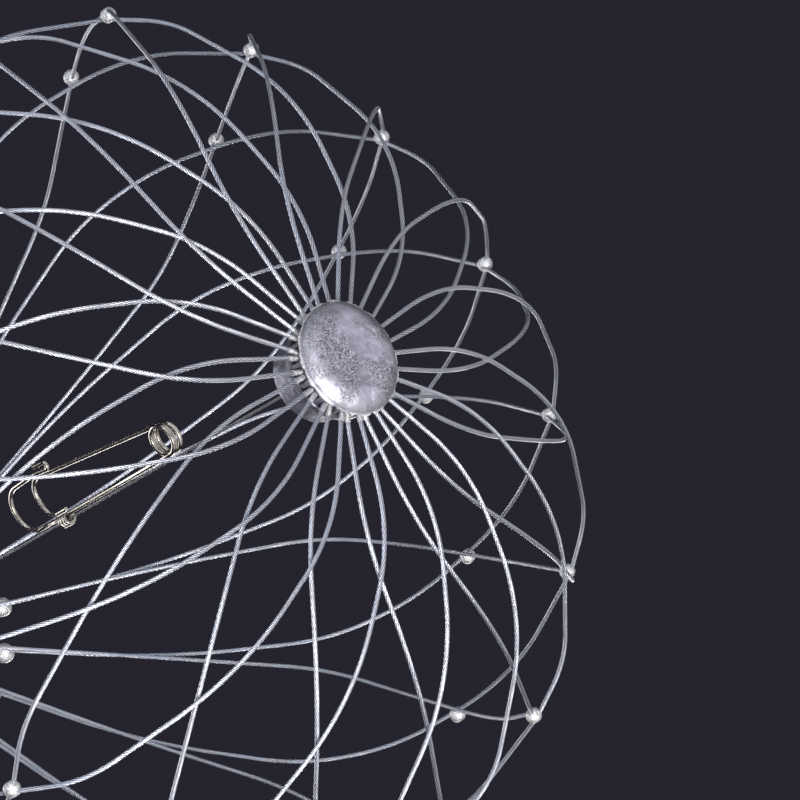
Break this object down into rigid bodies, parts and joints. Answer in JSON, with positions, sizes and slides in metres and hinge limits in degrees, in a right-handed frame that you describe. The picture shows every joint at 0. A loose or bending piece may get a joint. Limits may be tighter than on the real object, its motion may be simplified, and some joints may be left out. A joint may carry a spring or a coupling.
{
  "type": "folding crab trap",
  "caption": "Folding crab trap: springy wire rope loops crimped into a round cage on a cast weight, with a bait clip on its centre line; the loops fold out flat like petals.",
  "frame": {"origin": "centre of the cast weight's flat face, on the trap's axis", "axes": "+Z along the trap's axis, from the weight to the gathered loop tips; +X through a lower bead, on the bait clip's side"},
  "size_m": [0.3074, 0.3074, 0.2806],
  "materials": {
    "cast_cap": "dull mottled cast metal",
    "cast_stem": "dull mottled cast metal",
    "collar": "satin",
    "wire_rope": "bright stranded rope with satin crimp beads",
    "line_wire": "bright",
    "clip_wire": "polished spring wire"
  },
  "bodies": {
    "weight": {"front_cap": "cast_cap", "weight_stem": "cast_stem", "rope_collar": "collar", "centre_line": "line_wire"},
    "bait_clip": {"bait_clip": "clip_wire"},
    "bait_clip_arm": {"bait_clip_arm": "clip_wire"},
    "lower_00": {"lower_ropes_00": "wire_rope"},
    "upper_out_00": {"upper_rope_out_00": "wire_rope"},
    "upper_in_00": {"upper_rope_in_00": "wire_rope"},
    "lower_01": {"lower_ropes_01": "wire_rope"},
    "upper_out_01": {"upper_rope_out_01": "wire_rope"},
    "upper_in_01": {"upper_rope_in_01": "wire_rope"},
    "lower_02": {"lower_ropes_02": "wire_rope"},
    "upper_out_02": {"upper_rope_out_02": "wire_rope"},
    "upper_in_02": {"upper_rope_in_02": "wire_rope"},
    "lower_03": {"lower_ropes_03": "wire_rope"},
    "upper_out_03": {"upper_rope_out_03": "wire_rope"},
    "upper_in_03": {"upper_rope_in_03": "wire_rope"},
    "lower_04": {"lower_ropes_04": "wire_rope"},
    "upper_out_04": {"upper_rope_out_04": "wire_rope"},
    "upper_in_04": {"upper_rope_in_04": "wire_rope"},
    "lower_05": {"lower_ropes_05": "wire_rope"},
    "upper_out_05": {"upper_rope_out_05": "wire_rope"},
    "upper_in_05": {"upper_rope_in_05": "wire_rope"},
    "lower_06": {"lower_ropes_06": "wire_rope"},
    "upper_out_06": {"upper_rope_out_06": "wire_rope"},
    "upper_in_06": {"upper_rope_in_06": "wire_rope"},
    "lower_07": {"lower_ropes_07": "wire_rope"},
    "upper_out_07": {"upper_rope_out_07": "wire_rope"},
    "upper_in_07": {"upper_rope_in_07": "wire_rope"},
    "lower_08": {"lower_ropes_08": "wire_rope"},
    "upper_out_08": {"upper_rope_out_08": "wire_rope"},
    "upper_in_08": {"upper_rope_in_08": "wire_rope"},
    "lower_09": {"lower_ropes_09": "wire_rope"},
    "upper_out_09": {"upper_rope_out_09": "wire_rope"},
    "upper_in_09": {"upper_rope_in_09": "wire_rope"},
    "lower_10": {"lower_ropes_10": "wire_rope"},
    "upper_out_10": {"upper_rope_out_10": "wire_rope"},
    "upper_in_10": {"upper_rope_in_10": "wire_rope"},
    "lower_11": {"lower_ropes_11": "wire_rope"},
    "upper_out_11": {"upper_rope_out_11": "wire_rope"},
    "upper_in_11": {"upper_rope_in_11": "wire_rope"},
    "lower_12": {"lower_ropes_12": "wire_rope"},
    "upper_out_12": {"upper_rope_out_12": "wire_rope"},
    "upper_in_12": {"upper_rope_in_12": "wire_rope"},
    "lower_13": {"lower_ropes_13": "wire_rope"},
    "upper_out_13": {"upper_rope_out_13": "wire_rope"},
    "upper_in_13": {"upper_rope_in_13": "wire_rope"},
    "lower_14": {"lower_ropes_14": "wire_rope"},
    "upper_out_14": {"upper_rope_out_14": "wire_rope"},
    "upper_in_14": {"upper_rope_in_14": "wire_rope"},
    "lower_15": {"lower_ropes_15": "wire_rope"},
    "upper_out_15": {"upper_rope_out_15": "wire_rope"},
    "upper_in_15": {"upper_rope_in_15": "wire_rope"}
  },
  "joints": [
    {"name": "fold", "type": "hinge", "parent": "weight", "child": "lower_00", "pos_m": [0.01289, 0, 0.0086], "axis": [0, 1, 0], "range_deg": [0, 14]},
    {"name": "upper_fold_out_00", "type": "hinge", "parent": "lower_00", "child": "upper_out_00", "pos_m": [0.143, 0, 0.07667], "axis": [-0.4752, 0.8591, -0.1899], "range_deg": [0, 85.04]},
    {"name": "upper_fold_in_00", "type": "hinge", "parent": "lower_00", "child": "upper_in_00", "pos_m": [0.143, 0, 0.07667], "axis": [0.4752, 0.8591, 0.1899], "range_deg": [0, 85.04]},
    {"name": "lower_fold_01", "type": "hinge", "parent": "weight", "child": "lower_01", "pos_m": [0.01191, 0.00493, 0.0086], "axis": [-0.3827, 0.9239, 0], "range_deg": [0, 14]},
    {"name": "upper_fold_out_01", "type": "hinge", "parent": "lower_01", "child": "upper_out_01", "pos_m": [0.13212, 0.05472, 0.07667], "axis": [-0.7678, 0.6119, -0.1899], "range_deg": [0, 85.04]},
    {"name": "upper_fold_in_01", "type": "hinge", "parent": "lower_01", "child": "upper_in_01", "pos_m": [0.13212, 0.05472, 0.07667], "axis": [0.1103, 0.9756, 0.1899], "range_deg": [0, 85.04]},
    {"name": "lower_fold_02", "type": "hinge", "parent": "weight", "child": "lower_02", "pos_m": [0.00911, 0.00911, 0.0086], "axis": [-0.7071, 0.7071, 0], "range_deg": [0, 14]},
    {"name": "upper_fold_out_02", "type": "hinge", "parent": "lower_02", "child": "upper_out_02", "pos_m": [0.10112, 0.10112, 0.07667], "axis": [-0.9435, 0.2715, -0.1899], "range_deg": [0, 85.04]},
    {"name": "upper_fold_in_02", "type": "hinge", "parent": "lower_02", "child": "upper_in_02", "pos_m": [0.10112, 0.10112, 0.07667], "axis": [-0.2715, 0.9435, 0.1899], "range_deg": [0, 85.04]},
    {"name": "lower_fold_03", "type": "hinge", "parent": "weight", "child": "lower_03", "pos_m": [0.00493, 0.01191, 0.0086], "axis": [-0.9239, 0.3827, 0], "range_deg": [0, 14]},
    {"name": "upper_fold_out_03", "type": "hinge", "parent": "lower_03", "child": "upper_out_03", "pos_m": [0.05472, 0.13212, 0.07667], "axis": [-0.9756, -0.1103, -0.1899], "range_deg": [0, 85.04]},
    {"name": "upper_fold_in_03", "type": "hinge", "parent": "lower_03", "child": "upper_in_03", "pos_m": [0.05472, 0.13212, 0.07667], "axis": [-0.6119, 0.7678, 0.1899], "range_deg": [0, 85.04]},
    {"name": "lower_fold_04", "type": "hinge", "parent": "weight", "child": "lower_04", "pos_m": [0, 0.01289, 0.0086], "axis": [-1, 0, 0], "range_deg": [0, 14]},
    {"name": "upper_fold_out_04", "type": "hinge", "parent": "lower_04", "child": "upper_out_04", "pos_m": [0, 0.143, 0.07667], "axis": [-0.8591, -0.4752, -0.1899], "range_deg": [0, 85.04]},
    {"name": "upper_fold_in_04", "type": "hinge", "parent": "lower_04", "child": "upper_in_04", "pos_m": [0, 0.143, 0.07667], "axis": [-0.8591, 0.4752, 0.1899], "range_deg": [0, 85.04]},
    {"name": "lower_fold_05", "type": "hinge", "parent": "weight", "child": "lower_05", "pos_m": [-0.00493, 0.01191, 0.0086], "axis": [-0.9239, -0.3827, 0], "range_deg": [0, 14]},
    {"name": "upper_fold_out_05", "type": "hinge", "parent": "lower_05", "child": "upper_out_05", "pos_m": [-0.05472, 0.13212, 0.07667], "axis": [-0.6119, -0.7678, -0.1899], "range_deg": [0, 85.04]},
    {"name": "upper_fold_in_05", "type": "hinge", "parent": "lower_05", "child": "upper_in_05", "pos_m": [-0.05472, 0.13212, 0.07667], "axis": [-0.9756, 0.1103, 0.1899], "range_deg": [0, 85.04]},
    {"name": "lower_fold_06", "type": "hinge", "parent": "weight", "child": "lower_06", "pos_m": [-0.00911, 0.00911, 0.0086], "axis": [-0.7071, -0.7071, 0], "range_deg": [0, 14]},
    {"name": "upper_fold_out_06", "type": "hinge", "parent": "lower_06", "child": "upper_out_06", "pos_m": [-0.10112, 0.10112, 0.07667], "axis": [-0.2715, -0.9435, -0.1899], "range_deg": [0, 85.04]},
    {"name": "upper_fold_in_06", "type": "hinge", "parent": "lower_06", "child": "upper_in_06", "pos_m": [-0.10112, 0.10112, 0.07667], "axis": [-0.9435, -0.2715, 0.1899], "range_deg": [0, 85.04]},
    {"name": "lower_fold_07", "type": "hinge", "parent": "weight", "child": "lower_07", "pos_m": [-0.01191, 0.00493, 0.0086], "axis": [-0.3827, -0.9239, 0], "range_deg": [0, 14]},
    {"name": "upper_fold_out_07", "type": "hinge", "parent": "lower_07", "child": "upper_out_07", "pos_m": [-0.13212, 0.05472, 0.07667], "axis": [0.1103, -0.9756, -0.1899], "range_deg": [0, 85.04]},
    {"name": "upper_fold_in_07", "type": "hinge", "parent": "lower_07", "child": "upper_in_07", "pos_m": [-0.13212, 0.05472, 0.07667], "axis": [-0.7678, -0.6119, 0.1899], "range_deg": [0, 85.04]},
    {"name": "lower_fold_08", "type": "hinge", "parent": "weight", "child": "lower_08", "pos_m": [-0.01289, 0, 0.0086], "axis": [0, -1, 0], "range_deg": [0, 14]},
    {"name": "upper_fold_out_08", "type": "hinge", "parent": "lower_08", "child": "upper_out_08", "pos_m": [-0.143, 0, 0.07667], "axis": [0.4752, -0.8591, -0.1899], "range_deg": [0, 85.04]},
    {"name": "upper_fold_in_08", "type": "hinge", "parent": "lower_08", "child": "upper_in_08", "pos_m": [-0.143, 0, 0.07667], "axis": [-0.4752, -0.8591, 0.1899], "range_deg": [0, 85.04]},
    {"name": "lower_fold_09", "type": "hinge", "parent": "weight", "child": "lower_09", "pos_m": [-0.01191, -0.00493, 0.0086], "axis": [0.3827, -0.9239, 0], "range_deg": [0, 14]},
    {"name": "upper_fold_out_09", "type": "hinge", "parent": "lower_09", "child": "upper_out_09", "pos_m": [-0.13212, -0.05472, 0.07667], "axis": [0.7678, -0.6119, -0.1899], "range_deg": [0, 85.04]},
    {"name": "upper_fold_in_09", "type": "hinge", "parent": "lower_09", "child": "upper_in_09", "pos_m": [-0.13212, -0.05472, 0.07667], "axis": [-0.1103, -0.9756, 0.1899], "range_deg": [0, 85.04]},
    {"name": "lower_fold_10", "type": "hinge", "parent": "weight", "child": "lower_10", "pos_m": [-0.00911, -0.00911, 0.0086], "axis": [0.7071, -0.7071, 0], "range_deg": [0, 14]},
    {"name": "upper_fold_out_10", "type": "hinge", "parent": "lower_10", "child": "upper_out_10", "pos_m": [-0.10112, -0.10112, 0.07667], "axis": [0.9435, -0.2715, -0.1899], "range_deg": [0, 85.04]},
    {"name": "upper_fold_in_10", "type": "hinge", "parent": "lower_10", "child": "upper_in_10", "pos_m": [-0.10112, -0.10112, 0.07667], "axis": [0.2715, -0.9435, 0.1899], "range_deg": [0, 85.04]},
    {"name": "lower_fold_11", "type": "hinge", "parent": "weight", "child": "lower_11", "pos_m": [-0.00493, -0.01191, 0.0086], "axis": [0.9239, -0.3827, 0], "range_deg": [0, 14]},
    {"name": "upper_fold_out_11", "type": "hinge", "parent": "lower_11", "child": "upper_out_11", "pos_m": [-0.05472, -0.13212, 0.07667], "axis": [0.9756, 0.1103, -0.1899], "range_deg": [0, 85.04]},
    {"name": "upper_fold_in_11", "type": "hinge", "parent": "lower_11", "child": "upper_in_11", "pos_m": [-0.05472, -0.13212, 0.07667], "axis": [0.6119, -0.7678, 0.1899], "range_deg": [0, 85.04]},
    {"name": "lower_fold_12", "type": "hinge", "parent": "weight", "child": "lower_12", "pos_m": [0, -0.01289, 0.0086], "axis": [1, 0, 0], "range_deg": [0, 14]},
    {"name": "upper_fold_out_12", "type": "hinge", "parent": "lower_12", "child": "upper_out_12", "pos_m": [0, -0.143, 0.07667], "axis": [0.8591, 0.4752, -0.1899], "range_deg": [0, 85.04]},
    {"name": "upper_fold_in_12", "type": "hinge", "parent": "lower_12", "child": "upper_in_12", "pos_m": [0, -0.143, 0.07667], "axis": [0.8591, -0.4752, 0.1899], "range_deg": [0, 85.04]},
    {"name": "lower_fold_13", "type": "hinge", "parent": "weight", "child": "lower_13", "pos_m": [0.00493, -0.01191, 0.0086], "axis": [0.9239, 0.3827, 0], "range_deg": [0, 14]},
    {"name": "upper_fold_out_13", "type": "hinge", "parent": "lower_13", "child": "upper_out_13", "pos_m": [0.05472, -0.13212, 0.07667], "axis": [0.6119, 0.7678, -0.1899], "range_deg": [0, 85.04]},
    {"name": "upper_fold_in_13", "type": "hinge", "parent": "lower_13", "child": "upper_in_13", "pos_m": [0.05472, -0.13212, 0.07667], "axis": [0.9756, -0.1103, 0.1899], "range_deg": [0, 85.04]},
    {"name": "lower_fold_14", "type": "hinge", "parent": "weight", "child": "lower_14", "pos_m": [0.00911, -0.00911, 0.0086], "axis": [0.7071, 0.7071, 0], "range_deg": [0, 14]},
    {"name": "upper_fold_out_14", "type": "hinge", "parent": "lower_14", "child": "upper_out_14", "pos_m": [0.10112, -0.10112, 0.07667], "axis": [0.2715, 0.9435, -0.1899], "range_deg": [0, 85.04]},
    {"name": "upper_fold_in_14", "type": "hinge", "parent": "lower_14", "child": "upper_in_14", "pos_m": [0.10112, -0.10112, 0.07667], "axis": [0.9435, 0.2715, 0.1899], "range_deg": [0, 85.04]},
    {"name": "lower_fold_15", "type": "hinge", "parent": "weight", "child": "lower_15", "pos_m": [0.01191, -0.00493, 0.0086], "axis": [0.3827, 0.9239, 0], "range_deg": [0, 14]},
    {"name": "upper_fold_out_15", "type": "hinge", "parent": "lower_15", "child": "upper_out_15", "pos_m": [0.13212, -0.05472, 0.07667], "axis": [-0.1103, 0.9756, -0.1899], "range_deg": [0, 85.04]},
    {"name": "upper_fold_in_15", "type": "hinge", "parent": "lower_15", "child": "upper_in_15", "pos_m": [0.13212, -0.05472, 0.07667], "axis": [0.7678, 0.6119, 0.1899], "range_deg": [0, 85.04]},
    {"name": "clip_swivel", "type": "hinge", "parent": "weight", "child": "bait_clip", "pos_m": [0, 0, 0.1], "axis": [0, 0, 1], "continuous": true},
    {"name": "clip_arm_opening", "type": "hinge", "parent": "bait_clip", "child": "bait_clip_arm", "pos_m": [0.0066, 0, 0.099], "axis": [0, 1, 0], "range_deg": [0, 25], "stiffness_Nm_per_rad": 0.02, "springref_deg": -11.46}
  ],
  "couplings": [
    {"joint": "upper_fold_out_00", "follows": "fold", "ratio": 6.0734},
    {"joint": "upper_fold_in_00", "follows": "fold", "ratio": 6.0734},
    {"joint": "upper_fold_out_01", "follows": "fold", "ratio": 6.0734},
    {"joint": "upper_fold_in_01", "follows": "fold", "ratio": 6.0734},
    {"joint": "lower_fold_01", "follows": "fold", "ratio": 1},
    {"joint": "upper_fold_out_02", "follows": "fold", "ratio": 6.0734},
    {"joint": "upper_fold_in_02", "follows": "fold", "ratio": 6.0734},
    {"joint": "lower_fold_02", "follows": "fold", "ratio": 1},
    {"joint": "upper_fold_out_03", "follows": "fold", "ratio": 6.0734},
    {"joint": "upper_fold_in_03", "follows": "fold", "ratio": 6.0734},
    {"joint": "lower_fold_03", "follows": "fold", "ratio": 1},
    {"joint": "upper_fold_out_04", "follows": "fold", "ratio": 6.0734},
    {"joint": "upper_fold_in_04", "follows": "fold", "ratio": 6.0734},
    {"joint": "lower_fold_04", "follows": "fold", "ratio": 1},
    {"joint": "upper_fold_out_05", "follows": "fold", "ratio": 6.0734},
    {"joint": "upper_fold_in_05", "follows": "fold", "ratio": 6.0734},
    {"joint": "lower_fold_05", "follows": "fold", "ratio": 1},
    {"joint": "upper_fold_out_06", "follows": "fold", "ratio": 6.0734},
    {"joint": "upper_fold_in_06", "follows": "fold", "ratio": 6.0734},
    {"joint": "lower_fold_06", "follows": "fold", "ratio": 1},
    {"joint": "upper_fold_out_07", "follows": "fold", "ratio": 6.0734},
    {"joint": "upper_fold_in_07", "follows": "fold", "ratio": 6.0734},
    {"joint": "lower_fold_07", "follows": "fold", "ratio": 1},
    {"joint": "upper_fold_out_08", "follows": "fold", "ratio": 6.0734},
    {"joint": "upper_fold_in_08", "follows": "fold", "ratio": 6.0734},
    {"joint": "lower_fold_08", "follows": "fold", "ratio": 1},
    {"joint": "upper_fold_out_09", "follows": "fold", "ratio": 6.0734},
    {"joint": "upper_fold_in_09", "follows": "fold", "ratio": 6.0734},
    {"joint": "lower_fold_09", "follows": "fold", "ratio": 1},
    {"joint": "upper_fold_out_10", "follows": "fold", "ratio": 6.0734},
    {"joint": "upper_fold_in_10", "follows": "fold", "ratio": 6.0734},
    {"joint": "lower_fold_10", "follows": "fold", "ratio": 1},
    {"joint": "upper_fold_out_11", "follows": "fold", "ratio": 6.0734},
    {"joint": "upper_fold_in_11", "follows": "fold", "ratio": 6.0734},
    {"joint": "lower_fold_11", "follows": "fold", "ratio": 1},
    {"joint": "upper_fold_out_12", "follows": "fold", "ratio": 6.0734},
    {"joint": "upper_fold_in_12", "follows": "fold", "ratio": 6.0734},
    {"joint": "lower_fold_12", "follows": "fold", "ratio": 1},
    {"joint": "upper_fold_out_13", "follows": "fold", "ratio": 6.0734},
    {"joint": "upper_fold_in_13", "follows": "fold", "ratio": 6.0734},
    {"joint": "lower_fold_13", "follows": "fold", "ratio": 1},
    {"joint": "upper_fold_out_14", "follows": "fold", "ratio": 6.0734},
    {"joint": "upper_fold_in_14", "follows": "fold", "ratio": 6.0734},
    {"joint": "lower_fold_14", "follows": "fold", "ratio": 1},
    {"joint": "upper_fold_out_15", "follows": "fold", "ratio": 6.0734},
    {"joint": "upper_fold_in_15", "follows": "fold", "ratio": 6.0734},
    {"joint": "lower_fold_15", "follows": "fold", "ratio": 1}
  ]
}
